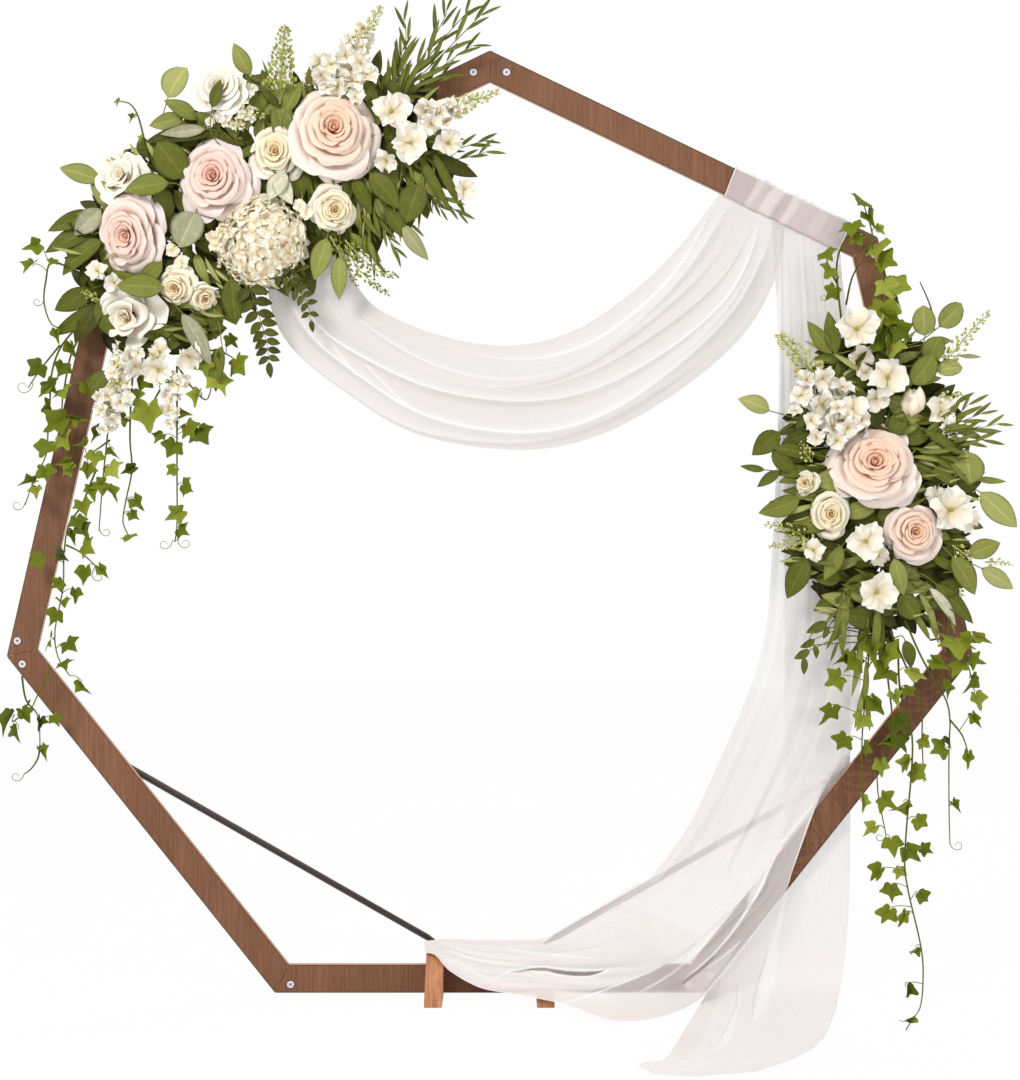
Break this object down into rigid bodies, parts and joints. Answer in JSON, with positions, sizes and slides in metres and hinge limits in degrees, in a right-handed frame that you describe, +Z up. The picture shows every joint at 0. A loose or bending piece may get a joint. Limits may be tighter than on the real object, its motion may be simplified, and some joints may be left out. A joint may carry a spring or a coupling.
{
  "type": "heptagonal wooden wedding arch with silk flower swags and drape",
  "caption": "Free-standing seven-sided wooden wedding arch on two notched feet with brace rods, dressed with two artificial flower swags, hanging ivy and a sheer drape.",
  "frame": {"origin": "middle of the bottom board's underside, on the floor", "axes": "+Z up, +X to the right and -Y towards the viewer in front of the arch"},
  "size_m": [2.3428, 1.1085, 2.2699],
  "materials": {
    "board_wood": "stained pine, matt",
    "foot_wood": "plain pine, matt",
    "plate_steel": "zinc-plated",
    "rod_paint": "dark brown paint, satin",
    "chiffon": "sheer white chiffon",
    "foliage": "silk leaves",
    "ivy": "moulded stems and silk leaves",
    "blush_petals": "silk petals",
    "cream_petals": "silk petals",
    "white_petals": "silk petals"
  },
  "bodies": {
    "root": {"bottom_board": "board_wood", "bottom_left_plate": "plate_steel", "bottom_right_plate": "plate_steel", "drape_sweep": "chiffon", "drape_swoop": "chiffon", "drape_train": "chiffon", "drape_wrap": "chiffon", "left_blush_rose_1": "blush_petals", "left_blush_rose_2": "blush_petals", "left_blush_rose_3": "blush_petals", "left_board": "board_wood", "left_brace_rod": "rod_paint", "left_bud_spike": "foliage", "left_cream_rose_1": "cream_petals", "left_cream_rose_2": "cream_petals", "left_cream_rose_3": "cream_petals", "left_delphinium_spike": "white_petals", "left_foliage": "foliage", "left_foot": "foot_wood", "left_hydrangea": "cream_petals", "left_ivy_inner": "ivy", "left_ivy_long": "ivy", "left_ivy_middle": "ivy", "left_ivy_outer": "ivy", "left_peony": "white_petals", "left_plate": "plate_steel", "left_stock_spike": "white_petals", "lower_left_board": "board_wood", "lower_right_board": "board_wood", "right_blush_rose_1": "blush_petals", "right_blush_rose_2": "blush_petals", "right_board": "board_wood", "right_brace_rod": "rod_paint", "right_bud_spike": "foliage", "right_cream_rose": "cream_petals", "right_foliage": "foliage", "right_foot": "foot_wood", "right_ivy_long": "ivy", "right_ivy_short": "ivy", "right_plate": "plate_steel", "right_stock_cluster": "white_petals", "right_white_rose": "white_petals", "top_plate": "plate_steel", "upper_left_board": "board_wood", "upper_left_plate": "plate_steel", "upper_right_board": "board_wood", "upper_right_plate": "plate_steel"}
  },
  "joints": []
}
